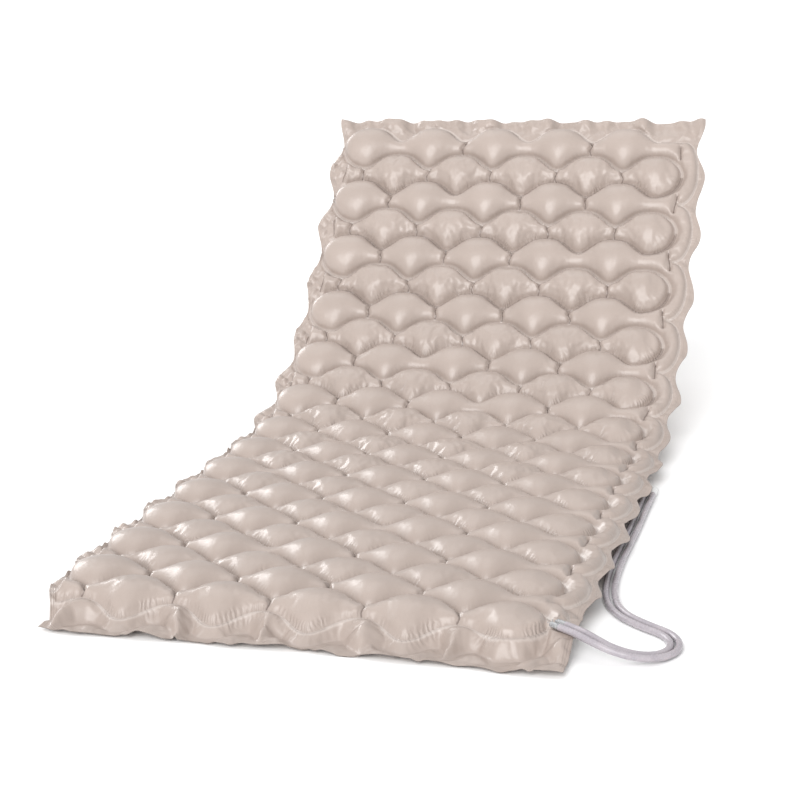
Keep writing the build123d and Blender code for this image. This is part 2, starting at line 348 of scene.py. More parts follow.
def film_material():
    """Beige satin PVC film: faint mottling and grain, pale welds, painted shade in the grooves between rows
    and in the creases, a ribbed hem.
    """
    material, nodes, links, shader = new_material("pvc_film")
    position = nodes.new("ShaderNodeTexCoord").outputs["Object"]
    body = mix(
        nodes,
        links,
        ramp(nodes, links, noise(nodes, links, position, 14.0), 0.3, 0.7, 0.0, 1.0),
        FILM_DARKER,
        FILM_LIGHTER,
    )
    mottled = mix(
        nodes,
        links,
        ramp(nodes, links, noise(nodes, links, position, 900.0, 2.0), 0.35, 0.65, 0.0, 0.35),
        body,
        FILM_SPECK,
    )
    weld = attribute(nodes, "weld")
    near_weld = ramp(nodes, links, weld, 0.0012, 0.0036, 0.7, 0.0)
    groove_shade = attribute(nodes, "groove_shade")
    shown = calculate(nodes, links, "MULTIPLY", near_weld, calculate(nodes, links, "SUBTRACT", 1.0, groove_shade))
    pale = mix(nodes, links, shown, mottled, FILM_WELD)
    # Painted shade: a thin dark line along each weld where two rows of cells meet in a deep groove, weaker
    # near the foot.
    line = ramp(nodes, links, weld, 0.0002, 0.0018, 0.50, 0.0)
    depth = calculate(nodes, links, "MULTIPLY", line, groove_shade)
    welded = mix(nodes, links, depth, pale, FILM_GROOVE_SHADE)
    # Painted shade: darker film close to each crease, standing in for the shade in its fold.
    crease_shade = ramp(nodes, links, attribute(nodes, "crease"), 0.0002, 0.0022, 0.85, 0.0)
    shaded_in_creases = mix(nodes, links, crease_shade, welded, FILM_CREASE_SHADE)
    links.new(shaded_in_creases, shader.inputs["Base Color"])
    gloss = noise(nodes, links, position, 60.0)
    links.new(ramp(nodes, links, gloss, 0.3, 0.7, 0.36, 0.44), shader.inputs["Roughness"])
    shader.inputs["Specular IOR Level"].default_value = 0.5
    shader.inputs["Coat Weight"].default_value = 0.28
    shader.inputs["Coat Roughness"].default_value = 0.22
    grain = bump(nodes, links, noise(nodes, links, position, 1500.0, 2.0), 0.00012, 0.35)
    dimples = bump(nodes, links, noise(nodes, links, position, 170.0, 4.0), 0.0005, 0.30, grain)
    dimples = bump(nodes, links, pleats(nodes, links, position), 1.0, 0.9, dimples)
    hem = attribute(nodes, "hem")
    ribs = calculate(nodes, links, "PINGPONG", hem, 0.0016)
    in_hem = ramp(nodes, links, hem, 0.0085, 0.0100, 1.0, 0.0)
    ribs = calculate(nodes, links, "MULTIPLY", ribs, in_hem)
    links.new(bump(nodes, links, ribs, 0.4, 0.6, dimples), shader.inputs["Normal"])
    return material


def clear_material():
    """Clear moulded PVC of the ports, slightly clouded."""
    material, nodes, links, shader = new_material("clear_pvc")
    position = nodes.new("ShaderNodeTexCoord").outputs["Object"]
    cloud = ramp(nodes, links, noise(nodes, links, position, 220.0), 0.35, 0.7, 0.0, 1.0)
    links.new(
        mix(nodes, links, cloud, (0.80, 0.81, 0.82, 1.0), (0.55, 0.56, 0.58, 1.0)),
        shader.inputs["Base Color"],
    )
    links.new(ramp(nodes, links, cloud, 0.0, 1.0, 0.06, 0.18), shader.inputs["Roughness"])
    shader.inputs["Transmission Weight"].default_value = 0.6
    shader.inputs["IOR"].default_value = 1.5
    return material


def hose_material():
    """Milky PVC tube with faint lengthwise clouding and fine scuffs."""
    material, nodes, links, shader = new_material("hose_pvc")
    position = nodes.new("ShaderNodeTexCoord").outputs["Object"]
    cloud = ramp(nodes, links, noise(nodes, links, position, 45.0), 0.3, 0.7, 0.0, 1.0)
    links.new(
        mix(nodes, links, cloud, (0.42, 0.385, 0.41, 1.0), (0.35, 0.322, 0.35, 1.0)),
        shader.inputs["Base Color"],
    )
    scuffs = noise(nodes, links, position, 400.0)
    links.new(ramp(nodes, links, scuffs, 0.35, 0.7, 0.20, 0.36), shader.inputs["Roughness"])
    shader.inputs["Subsurface Weight"].default_value = 0.25
    shader.inputs["Subsurface Radius"].default_value = (0.006, 0.005, 0.005)
    shader.inputs["Subsurface Scale"].default_value = 0.5
    links.new(bump(nodes, links, scuffs, 0.0002, 0.3), shader.inputs["Normal"])
    return material


def connector_material():
    """Grey moulded plastic with a fine spark-eroded grain."""
    material, nodes, links, shader = new_material("connector_plastic")
    position = nodes.new("ShaderNodeTexCoord").outputs["Object"]
    tint = ramp(nodes, links, noise(nodes, links, position, 90.0), 0.3, 0.7, 0.0, 1.0)
    links.new(
        mix(nodes, links, tint, (0.66, 0.66, 0.66, 1.0), (0.72, 0.72, 0.71, 1.0)),
        shader.inputs["Base Color"],
    )
    grain = noise(nodes, links, position, 2600.0, 2.0)
    links.new(ramp(nodes, links, grain, 0.3, 0.7, 0.42, 0.58), shader.inputs["Roughness"])
    links.new(bump(nodes, links, grain, 0.0002, 0.5), shader.inputs["Normal"])
    return material


# --------------------------------------------------------------------- the weld lines, laid flat
# Flat coordinates: x across the pad, s along the film from the foot weld line.


def smooth(value, low, high):
    """0 below low, 1 above high, and a smooth step between."""
    t = np.clip((value - low) / (high - low), 0, 1)
    return t * t * (3 - 2 * t)


def across(pitches):
    """X of a place given in cell pitches."""
    return (pitches - MID_PITCH) * CELL_PITCH


RIGHT_TURN = across(5.0)  # the last cell of an even row
LEFT_TURN = across(0.5)  # the first cell of an odd row


def middle(row):
    """The middle line of a row."""
    return (row + 0.5) * ROW_PITCH


def wave(line, x):
    """A weld line between the turns: it dips to the foot round each cell of the row above it."""
    start = 0.5 if line % 2 else 0.0
    turn = 2 * math.pi * (x / CELL_PITCH + MID_PITCH - start)
    return line * ROW_PITCH - SWING * (np.cos(turn) + SHARPNESS * np.cos(2 * turn))


def weld_height(line, x):
    """s of a weld line at any x. Beyond the turns it closes round the end cell."""
    x = np.asarray(x, float)
    s = wave(line, np.clip(x, LEFT_TURN, RIGHT_TURN))
    for side, turn in ((1, RIGHT_TURN), (-1, LEFT_TURN)):
        past = side * (x - turn) / END_RUN
        closed = np.sqrt(np.clip(1 - past**2, 0, 1))
        below_cell = (line % 2 == 0) == (side == 1)
        row = line if below_cell else line - 1
        if row < 0:
            end = np.interp(-x, [-LEFT_TURN, 0.375, 0.400], [float(wave(0, LEFT_TURN)), 0.006, 0.012])
        elif row >= ROW_COUNT:
            end = np.full(x.shape, ROW_COUNT * ROW_PITCH - 0.018)
        elif below_cell:
            end = middle(row) - LOWER_HALF * closed
        else:
            end = middle(row) + UPPER_HALF * closed
        s = np.where(past > 0, end, s)
    return s


def foot_line(x):
    """s of the line where the foot strip begins: the foot weld line, and below the ports beside it."""
    return np.minimum(weld_height(0, x), 0.020)


def resample(points, step):
    """A line's points at an even spacing of about step."""
    points = np.asarray(points, float)
    runs = np.linalg.norm(np.diff(points, axis=0), axis=1)
    along = np.concatenate([[0.0], np.cumsum(runs)])
    places = np.linspace(0, along[-1], max(2, round(along[-1] / step) + 1))
    return np.column_stack([np.interp(places, along, points[:, i]) for i in range(points.shape[1])])


def beside(points, distance):
    """The line at a distance to the right of another."""
    heading = np.gradient(points, axis=0)
    heading /= np.linalg.norm(heading, axis=1)[:, None]
    return points + distance * np.column_stack([heading[:, 1], -heading[:, 0]])


def arc(centre_x, centre_s, run, half, start, end):
    """Part of an ellipse, between two angles in degrees."""
    angles = np.radians(np.linspace(start, end, 60))
    return np.column_stack([centre_x + run * np.cos(angles), centre_s + half * np.sin(angles)])


def row_weld():
    """The one weld that makes all rows: it runs to and fro, round the right ends of the even rows and
    round the left ends of the odd ones."""
    parts = [[(-0.400, 0.012), (-0.375, 0.006)]]
    for line in range(ROW_COUNT + 1):
        x = np.linspace(LEFT_TURN, RIGHT_TURN, 800)
        run = np.column_stack([x, wave(line, x)])
        parts.append(run if line % 2 == 0 else run[::-1])
        if line < ROW_COUNT:
            side, turn = (1, RIGHT_TURN) if line % 2 == 0 else (-1, LEFT_TURN)
            parts.append(arc(turn, middle(line), side * END_RUN, LOWER_HALF, -88, -2))
            parts.append(arc(turn, middle(line), side * END_RUN, UPPER_HALF, 2, 88))
    return np.vstack(parts)


def duct_weld():
    """The outer weld of the right duct, from the head weld line down its loops to the ports."""
    top = middle(ROW_COUNT - 2)
    parts = [
        [(0.306, 1.8015), (0.330, top + TOP_LOOP_HALF)],
        arc(LOOP_START, top, LOOP_RUN, TOP_LOOP_HALF, 90, 0),
        arc(LOOP_START, top, LOOP_RUN, LOOP_HALF, -2, -90),
    ]
    for row in range(ROW_COUNT - 4, 0, -2):
        parts.append(arc(LOOP_START, middle(row), LOOP_RUN, LOOP_HALF, 90, -90))
    parts.append(arc(LOOP_START, middle(0), PORT_LOOP_RUN, LOOP_HALF, 90, 17))
    parts.append([(0.372, 0.046), (0.3655, 0.0365)])
    return np.vstack(parts)


def ripple(place, length, seed):
    """An uneven wave between about -1 and 1 along a line, with a typical length."""
    rng = np.random.default_rng(seed)
    total = 0.0
    for share, stretch in ((0.5, 1.0), (0.3, 0.61), (0.2, 0.37)):
        total = total + share * np.sin(2 * np.pi * place / (length * stretch) + rng.uniform(0, 6.28))
    return total


def left_edge(s):
    """X of the film's left edge: drawn in by the odd rows and loose beside the even ones."""
    swell = np.cos(2 * np.pi * (s - middle(0)) / CELL_PITCH)
    drawn_in = 0.026 * (1 - smooth(s, 0.0, 0.11))
    return -0.399 - 0.009 * swell + 0.003 * ripple(s, 0.19, 1) + drawn_in


def right_edge(s):
    """X of the film's right edge: out round each loop of the duct, and narrower by the ports."""
    swell = np.cos(2 * np.pi * (s - middle(0)) / CELL_PITCH)
    usual = 0.397 + 0.008 * swell + 0.003 * ripple(s, 0.23, 2) - 0.012 * smooth(s, 1.72, 1.83)
    by_ports = np.interp(s, [-0.06, 0.05, 0.11], [0.394, 0.393, 0.394])
    return by_ports + (usual - by_ports) * smooth(s, 0.06, 0.14)


def foot_edge(x):
    """s of the foot hem."""
    return FOOT_HEM - 0.018 * smooth(x, 0.0, 0.38) + 0.0035 * ripple(x, 0.21, 3)


def head_edge(x):
    """s of the head hem."""
    return HEAD_HEM + 0.004 * ripple(x, 0.17, 4)


def outline():
    """The film's outer edge, once round from the foot-left corner."""
    x = np.linspace(left_edge(FOOT_HEM), right_edge(FOOT_HEM), 400)
    s = np.linspace(FOOT_HEM, HEAD_HEM, 900)[1:-1]
    head_x = np.linspace(right_edge(HEAD_HEM), left_edge(HEAD_HEM), 400)
    return np.vstack(
        [
            np.column_stack([x, foot_edge(x)]),
            np.column_stack([right_edge(s), s]),
            np.column_stack([head_x, head_edge(head_x)]),
            np.column_stack([left_edge(s[::-1]), s[::-1]]),
        ]
    )


def crease(x, row, rng, depth, low=0.0, high=1.0):
    """An S-shaped crease across a neck: points (x, s, height above the weld plane)."""
    start = float(weld_height(row, x)) + BAND + 0.0015
    end = float(weld_height(row + 1, x)) - BAND - 0.0015
    t = np.linspace(low, high, 24)
    bow = rng.choice([-1, 1]) * rng.uniform(0.0008, 0.0026)
    lean = rng.uniform(-0.003, 0.003)
    shape = bow * np.sin(2 * np.pi * t) + lean * (t - 0.5)
    return np.column_stack([x + shape, start + (end - start) * t, depth * np.sin(np.pi * t)])


def all_creases():
    """The creases of every neck, and of the mouths where a row meets its duct."""
    rng = np.random.default_rng(11)
    found = []
    for row in range(ROW_COUNT):
        odd = row % 2 == 1
        for neck in range(1, 5):
            place = neck + (0.0 if odd else 0.5) + rng.uniform(-0.02, 0.02)
            if (row, neck) not in SMOOTH_NECKS:
                found.append(crease(across(place), row, rng, rng.uniform(0.0035, 0.0065)))
        if odd and row > 1:
            found.append(crease(0.349, row, rng, 0.0055, 0.22, 0.78))
        if not odd:
            found.append(crease(across(0.46 + rng.uniform(-0.03, 0.03)), row, rng, 0.004))
            if row > 0:
                found.append(crease(-0.374, row, rng, 0.003, 0.2, 0.8))
    return found


# -------------------------------------------------------------------------- the flat film as a mesh


def inside_outline(points):
    """Which points lie inside the film's outline, by their distance to its four sides."""
    x, s = points[:, 0], points[:, 1]
    margin = 0.55 * GRID
    across_fine = (x > left_edge(s) + margin) & (x < right_edge(s) - margin)
    return across_fine & (s > foot_edge(x) + margin) & (s < head_edge(x) - margin)


def even_points():
    """Points of a triangular grid that covers the film."""
    step_s = GRID * math.sqrt(3) / 2
    rows = np.arange(FOOT_HEM - 0.01, HEAD_HEM + 0.01, step_s)
    columns = np.arange(-0.43, 0.43, GRID)
    x, s = np.meshgrid(columns, rows)
    x = x + (np.arange(len(rows)) % 2)[:, None] * GRID / 2
    points = np.column_stack([x.ravel(), s.ravel()])
    return points[inside_outline(points)]


def nearest(targets, points):
    """For each point, the distance to the nearest of the targets, and which one it is."""
    tree = kdtree.KDTree(len(targets))
    for i, (x, s) in enumerate(targets[:, :2]):
        tree.insert((x, s, 0.0), i)
    tree.balance()
    found = [tree.find((x, s, 0.0)) for x, s in points[:, :2]]
    return np.array([hit[2] for hit in found]), np.array([hit[1] for hit in found])


def flat_film():
    """The flat film's triangles with its welds and creases as edges: (points, triangles, kinds, heights).
    A kind is 0 for free film, 1 for a weld, 2 for a crease and 3 for the outer edge."""
    weld = row_weld()
    duct = duct_weld()
    lines = [
        (resample(weld, 0.9 * GRID), 1, False),
        (resample(beside(resample(weld, 0.002), -BAND), 0.9 * GRID), 1, False),
        (resample(duct, 0.9 * GRID), 1, False),
        (resample(outline(), GRID), 3, True),
    ]
    lines += [(resample(c, 0.8 * GRID), 2, False) for c in all_creases()]
    points, edges, kinds, heights = [], [], [], []
    for line, kind, closed in lines:
        first, count = len(points), len(line) - (1 if closed else 0)
        points += [Vector((p[0], p[1])) for p in line[:count]]
        kinds += [kind] * count
        heights += [p[2] if len(p) > 2 else 0.0 for p in line[:count]]
        edges += [(first + i, first + i + 1) for i in range(count - 1)]
        if closed:
            edges.append((first + count - 1, first))
    marks = np.vstack([resample(line, GRID / 4)[:, :2] for line, kind, closed in lines])
    grid = even_points()
    away = nearest(marks, grid)[0]
    grid = grid[away > 0.55 * GRID]
    points += [Vector(p) for p in grid]
    kinds += [0] * len(grid)
    heights += [0.0] * len(grid)
    made = geometry.delaunay_2d_cdt(points, edges, [], 1, 1e-6)
    flat = np.array([(p[0], p[1]) for p in made[0]])
    triangles = np.array(made[2])
    source = [(sources[0] if sources else -1) for sources in made[3]]
    kinds = np.array([kinds[i] if i >= 0 else 1 for i in source])
    heights = np.array([heights[i] if i >= 0 else 0.0 for i in source])
    a, b, c = (flat[triangles[:, i]] for i in range(3))
    ab, ac = b - a, c - a
    upward = ab[:, 0] * ac[:, 1] - ab[:, 1] * ac[:, 0] > 0
    triangles[~upward] = triangles[~upward][:, ::-1]
    return flat, triangles, kinds, heights


def row_of(x, s):
    """The row at each place, -1 below the foot weld line and ROW_COUNT above the head one."""
    return sum((s > weld_height(line, x)).astype(int) for line in range(ROW_COUNT + 1)) - 1


def side_limits(s):
    """X where the rows end and the ducts begin, on the left and on the right."""
    row = np.clip(np.floor(s / ROW_PITCH).astype(int), 0, ROW_COUNT - 1)
    from_middle = np.clip(s - middle(row), -ROW_PITCH / 2, ROW_PITCH / 2)
    half = np.where(from_middle < 0, LOWER_HALF, UPPER_HALF)
    round_end = END_RUN * np.sqrt(1 - (from_middle / half) ** 2)
    low_join = END_RUN * math.sqrt(1 - (ROW_PITCH / 2 / LOWER_HALF) ** 2)
    high_join = END_RUN * math.sqrt(1 - (ROW_PITCH / 2 / UPPER_HALF) ** 2)
    straight = high_join + (low_join - high_join) * (from_middle / ROW_PITCH + 0.5)
    even = row % 2 == 0
    right = RIGHT_TURN + np.where(even, round_end, straight)
    left = LEFT_TURN - np.where(even, straight, round_end)
    return left, right


def inside_loops(x, s):
    """Which places lie inside the right duct's outer weld."""
    row = 2 * np.round((s - middle(0)) / CELL_PITCH).astype(int)
    row = np.clip(row, 0, ROW_COUNT - 2)
    half = np.where((row == ROW_COUNT - 2) & (s > middle(row)), TOP_LOOP_HALF, LOOP_HALF)
    run = np.where(row == 0, PORT_LOOP_RUN, LOOP_RUN)
    part = ((x - LOOP_START) / run) ** 2 + ((s - middle(row)) / half) ** 2
    high_enough = s > 0.030 + (x - LOOP_START)
    return high_enough & (s < 1.803) & ((x < LOOP_START) | (part < 1))


# ------------------------------------------------------------------------ blowing up the top film


def film_facts(flat, kinds):
    """What each point of the film belongs to, as arrays by name."""
    x, s = flat[:, 0], flat[:, 1]
    row = row_of(x, s)
    left, right = side_limits(s)
    in_rows = (row >= 0) & (row < ROW_COUNT) & (x > left) & (x < right)
    loops = (x >= right) & inside_loops(x, s)
    loose = (x <= left) & (s > 0.0) & (s < ROW_COUNT * ROW_PITCH)
    welds = np.vstack([resample(row_weld(), 0.001), resample(duct_weld(), 0.001)])
    band = beside(resample(row_weld(), 0.002), -BAND)
    away, along = nearest(welds, flat)
    band_away = nearest(resample(band, 0.001), flat)[0]
    edge_away = nearest(flat[kinds == 3], flat)[0]
    crease_away = nearest(flat[kinds == 2], flat)[0]
    odd = in_rows & (row % 2 == 1)
    even = in_rows & (row % 2 == 0)
    every = np.arange(len(x))
    low = np.stack([weld_height(line, x) for line in range(ROW_COUNT + 1)])
    inner = np.clip(row, 0, ROW_COUNT - 1)
    bottom, top = low[inner, every], low[inner + 1, every]
    part = np.clip((s - bottom) / np.maximum(top - bottom, 0.001), 0, 1) * in_rows
    slack = np.select([odd, even, loops], [0.30, 1.0, 0.5], 0.6)
    # Painted shade: the weld lines that lie deep between two rows are marked for a dark painted line.
    groove_shade_line = in_rows & ((row + (part > 0.5)) % 2 == 0)
    return {
        "part": part,
        "span": top - bottom,
        "x": x,
        "s": s,
        "row": np.clip(row, 0, ROW_COUNT - 1),
        "in_rows": in_rows,
        "odd": odd,
        "even": even,
        "loops": loops,
        "loose": loose,
        "foot": (row < 0) & ~loops & (s < foot_line(x)),
        "head": row >= ROW_COUNT,
        "weld": np.where(s < 0.03, away, np.minimum(away, band_away)),
        "along": along * 0.001,
        "slack": slack * (1 - 0.7 * smooth(part, 0.35, 0.6)),
        "groove_shade": np.where(groove_shade_line, np.where(s > 0.04, 1.0, 0.6), 0.25),
        "crease": crease_away,
        "hem": edge_away,
    }


def foot_sag(x):
    """How far the foot weld line hangs below the weld plane: most under the middle of each cell."""
    cell = 0.5 + 0.5 * np.cos(2 * np.pi * (x / CELL_PITCH + MID_PITCH))
    return FOOT_SAG * cell * (1 - smooth(x, 0.25, 0.30)) * smooth(x, -0.39, -0.36)


def cell_heights(facts, tube):
    """Height of the rows' film, half blown up. The cells are steeper on their upper side, and on the
    raised section the slack ones slope gently."""
    x, s, t = facts["x"], facts["s"], facts["part"]
    full = facts["row"] % 2 == 1
    crown = np.where(full, CROWN_FULL, CROWN_SLACK)
    height = crown * WIDEST * (np.maximum(facts["span"], 0.001) / WIDEST) ** CROWN_POWER
    skewed = np.where(full, t**SKEW_FULL, t**SKEW_SLACK)
    fullness = np.where(full | (s < RAISED_FROM), PLUMP, GENTLE)
    cells = height * (1 - np.abs(2 * skewed - 1) ** SECTION_POWER) ** fullness
    near_duct = smooth(x, 0.305, 0.340)
    return cells * (1 - near_duct) + np.minimum(cells, 1.3 * tube) * near_duct


def foot_heights(x, s):
    """Height of the foot strip: a tent leans out below each neck, and between the tents a short slope
    falls from the hanging weld line to the wavy hem."""
    past = np.clip(foot_line(x) - s, 0, None)
    pitches = x / CELL_PITCH + MID_PITCH
    lean = 0.25 * ripple(x, 0.31, 12) * past / 0.05
    from_cell = np.abs((pitches - TENT_OFFSET + lean) % 1.0 - 0.5)
    tent = np.clip(1 - (0.5 - from_cell) / TENT_HALF, 0, 1)
    run = SHORT_SLOPE + TENT_SLOPE * tent
    slope = np.clip(past / run, 0, 1)
    drop = FOOT_DROP * slope**0.9
    ridge = TENT_RIDGE * tent * np.sin(np.pi * slope**0.8)
    ridge = ridge + 0.0030 * ripple(x + past, 0.09, 13) * smooth(past, 0.004, 0.03)
    hem_wave = 0.005 * (1 + ripple(x, 0.19, 8)) * smooth(past, 0.02, 0.05)
    eased = np.clip(1 - past / run, 0, 1)
    return ridge - drop + hem_wave - foot_sag(x) * eased * (1 - 0.6 * tent)


def border_heights(facts, z):
    """The height of the film with its head strip folded and its right border wavy, drooping at the
    foot corner."""
    x, s = facts["x"], facts["s"]
    beyond = s - ROW_COUNT * ROW_PITCH
    head_fold = 0.012 * ripple(x + 0.2 * beyond, 0.11, 9) * smooth(beyond, -0.012, 0.030)
    z = np.where(facts["head"], head_fold, z)
    side_wave = smooth(facts["weld"], 0.004, 0.020)
    right_border = ~facts["loops"] & (x > 0.36) & (s > 0) & ~facts["head"]
    z = np.where(right_border, 0.0055 * ripple(s, 0.12, 10) * side_wave - 0.003 * side_wave, z)
    corner = smooth(x, 0.30, 0.39) * (1 - smooth(s, 0.0, 0.06))
    return z - 0.012 * corner * smooth(facts["weld"], 0.003, 0.02) * ~facts["in_rows"] * ~facts["foot"]


def start_shape(facts, kinds, heights):
    """The film before the simulation: cells half blown up, borders folded and drooping."""
    x, s = facts["x"], facts["s"]
    rng = np.random.default_rng(5)
    tube = DUCT_HEIGHT * (1 - (1 - np.clip(facts["weld"] / DUCT_HALF, 0, 1)) ** 2)
    z = np.where(facts["in_rows"], cell_heights(facts, tube), 0.0)
    z = np.where(facts["loops"], tube, z)
    crumple = 0.011 * np.abs(ripple(s + 0.8 * x, 0.075, 6)) * np.abs(ripple(x - 0.5 * s, 0.05, 7))
    z = np.where(facts["loose"], crumple + 0.003, z)
    z = np.where(facts["foot"], foot_heights(x, s), z)
    z = border_heights(facts, z)
    z = z + rng.normal(0, 0.0002, len(x)) * (kinds == 0)
    near_foot = (s < foot_line(x) + 0.003) & (s > -0.03)
    foot_row = (facts["in_rows"] & (facts["row"] == 0)) | near_foot
    hanging = foot_sag(x) * (1 - smooth(facts["part"], 0.0, 0.55)) * foot_row
    z = np.where(facts["in_rows"], z - hanging, z)
    z = np.where(kinds == 1, -hanging * (s < 0.03), z)
    z = np.where(kinds == 2, heights, z)
    return np.column_stack([x, s, z])


def add_group(cloth, name, weights):
    """A vertex group with a weight for each vertex, rounded to hundredths."""
    group = cloth.vertex_groups.new(name=name)
    rounded = np.round(weights, 2)
    for weight in np.unique(rounded):
        group.add(np.nonzero(rounded == weight)[0].tolist(), float(weight), "REPLACE")


def blow_up(start, triangles, facts, kinds):
    """Cloth simulation of the top film under air pressure. Welds, creases and the outer edge stay put."""
    mesh = bpy.data.meshes.new("cloth")
    mesh.from_pydata(start.tolist(), [], triangles.tolist())
    cloth = bpy.data.objects.new("cloth", mesh)
    bpy.context.scene.collection.objects.link(cloth)
    pressure = np.select(
        [facts["odd"], facts["even"], facts["loops"], facts["loose"]], [1.0, 0.45, 0.7, 0.12], 0.0
    )
    lying = 1 - smooth(facts["s"], 0.55, 0.85)
    tautness = np.select(
        [facts["odd"], facts["even"], facts["loops"], facts["loose"]],
        [0.95, 0.35 + 0.45 * lying, 0.6, 0.0],
        0.3,
    )
    add_group(cloth, "held", (kinds > 0).astype(float))
    add_group(cloth, "pressure", pressure)
    add_group(cloth, "tautness", tautness)
    modifier = cloth.modifiers.new("cloth", "CLOTH")
    modifier.point_cache.frame_start = 1
    modifier.point_cache.frame_end = CLOTH_FRAMES
    modifier.collision_settings.use_collision = False
    settings = modifier.settings
    settings.quality = 6
    settings.mass = 0.03
    settings.tension_stiffness = STIFFNESS
    settings.compression_stiffness = STIFFNESS
    settings.shear_stiffness = STIFFNESS
    settings.bending_stiffness = BENDING
    settings.tension_damping = 0.1
    settings.compression_damping = 0.1
    settings.shear_damping = 0.1
    settings.bending_damping = 0.01
    settings.air_damping = 0.5
    settings.vertex_group_mass = "held"
    settings.use_pressure = True
    settings.uniform_pressure_force = PRESSURE
    settings.vertex_group_pressure = "pressure"
    settings.vertex_group_shrink = "tautness"
    settings.shrink_min = -GROWTH
    settings.shrink_max = 0.0
    settings.effector_weights.gravity = 0.0
    for step in range(1, CLOTH_FRAMES + 1):
        bpy.context.scene.frame_set(step)
    evaluated = cloth.evaluated_get(bpy.context.evaluated_depsgraph_get())
    blown = np.empty(len(start) * 3)
    evaluated.data.vertices.foreach_get("co", blown)
    bpy.data.objects.remove(cloth)
    bpy.context.scene.frame_set(1)
    return blown.reshape(-1, 3)


def relax(points, triangles, free, rounds):
    """Evens the film out by moving each free point half way to the mean of its neighbours."""
    edges = np.vstack([triangles[:, [0, 1]], triangles[:, [1, 2]], triangles[:, [2, 0]]])
    edges = np.vstack([edges, edges[:, ::-1]])
    count = np.maximum(np.bincount(edges[:, 0], minlength=len(points)), 1)[:, None]
    for _ in range(rounds):
        total = np.column_stack(
            [np.bincount(edges[:, 0], points[edges[:, 1], i], len(points)) for i in range(3)]
        )
        points = np.where(free[:, None], 0.5 * points + 0.5 * total / count, points)
    return points


def fold_heights(facts):
    """The folds that fan out from the lower weld of each half full cell."""
    wander = 0.45 * ripple(facts["along"], 0.083, 21) + 0.3 * ripple(facts["x"], 0.05, 22)
    turns = facts["along"] / FOLD_PITCH + wander
    strength = 0.65 + 0.35 * ripple(facts["along"], 0.047, 23)
    reach = smooth(facts["weld"], 0.001, 0.007) * (1 - smooth(facts["weld"], 0.012, 0.034))
    chosen = facts["even"] & (facts["x"] < RIGHT_TURN + END_RUN)
    lower = chosen * (1 - smooth(facts["part"], 0.40, 0.55))
    flat_part = 1 - 0.75 * (1 - smooth(facts["s"], 0.55, 0.85))
    return FOLD_HEIGHT * (np.abs(np.sin(np.pi * turns)) - 0.6) * strength * reach * lower * flat_part


def port_places():
    """Where the two port stubs leave the films, and their heading."""
    heading = (math.cos(PORT_HEADING), math.sin(PORT_HEADING))
    x, s = PORT_A
    return [(x, s), (x + PORT_SPACING * heading[1], s - PORT_SPACING * heading[0])], heading


def lift_round_ports(top, bottom):
    """The films wrap round the stubs that they grip."""
    places, heading = port_places()
    for x, s in places:
        along = (top[:, 0] - x) * heading[0] + (top[:, 1] - s) * heading[1]
        aside = (top[:, 0] - x) * -heading[1] + (top[:, 1] - s) * heading[0]
        grip = smooth(along, -0.022, -0.008) * (1 - smooth(along, 0.0005, 0.0035))
        sleeve = np.sqrt(np.clip(0.0052**2 - aside**2, 0, None))
        skirt = 0.006 * np.exp(-((aside / 0.007) ** 2))
        lift = grip * (sleeve + skirt)
        top[:, 2] = np.where(lift > 0.0002, np.maximum(top[:, 2], lift), top[:, 2])
        bottom[:, 2] = np.where(
            (grip > 0.5) & (np.abs(aside) < 0.008), np.maximum(bottom[:, 2], skirt - sleeve), bottom[:, 2]
        )
    return top, bottom


def under_film(top, facts):
    """The bottom film: blown downwards under the cells and flat where it rests, and against the top
    film in the borders."""
    blown = facts["in_rows"] | facts["loops"]
    left = side_limits(facts["s"])[0]
    share = smooth(facts["x"], left - 0.004, left + 0.040) * blown
    depth = MID_HEIGHT - 0.0004
    hang = np.clip(top[:, 2], 0, None)
    softened = depth * (1 - np.exp(-((hang / depth) ** 3))) ** (1 / 3)
    bottom = top.copy()
    bottom[:, 2] = share * np.minimum(-softened, -0.0002) + (1 - share) * (top[:, 2] - SHEET)
    bottom[:, 2] = np.minimum(bottom[:, 2], top[:, 2] - 0.0002)
    return bottom


def fold_up(points, lowest):
    """From the flat pad to the pad at rest, bent along its fold, and nowhere below a height."""
    fine = np.arange(-0.2, 2.1, 0.001)
    tilt = HINGE_STEP * np.clip((fine / ROW_PITCH) - (FIRST_HINGE - 0.5), 0, len(hinges))
    line_y = np.cumsum(np.cos(tilt)) * 0.001
    line_z = np.cumsum(np.sin(tilt)) * 0.001
    line_y += FOOT_Y - np.interp(0.0, fine, line_y)
    x, s, z = points.T
    here = np.interp(s, fine, tilt)
    y = np.interp(s, fine, line_y) - z * np.sin(here)
    height = MID_HEIGHT + np.interp(s, fine, line_z) + z * np.cos(here)
    return np.column_stack([x, y, np.maximum(height, lowest)])


# ------------------------------------------------------------------- cutting the film into pieces


def point_normals(points, triangles):
    """Smooth normals of a surface."""
    a, b, c = (points[triangles[:, i]] for i in range(3))
    face = np.cross(b - a, c - a)
    normals = np.zeros(points.shape)
    for corner in range(3):
        for axis in range(3):
            normals[:, axis] += np.bincount(triangles[:, corner], face[:, axis], len(points))
    return normals / np.maximum(np.linalg.norm(normals, axis=1), 1e-12)[:, None]


def open_edges(triangles, count):
    """The directed edges of triangles that no neighbour shares."""
    edges = np.vstack([triangles[:, [0, 1]], triangles[:, [1, 2]], triangles[:, [2, 0]]])
    forward = edges[:, 0].astype(np.int64) * count + edges[:, 1]
    backward = edges[:, 1].astype(np.int64) * count + edges[:, 0]
    return edges[~np.isin(forward, backward)]


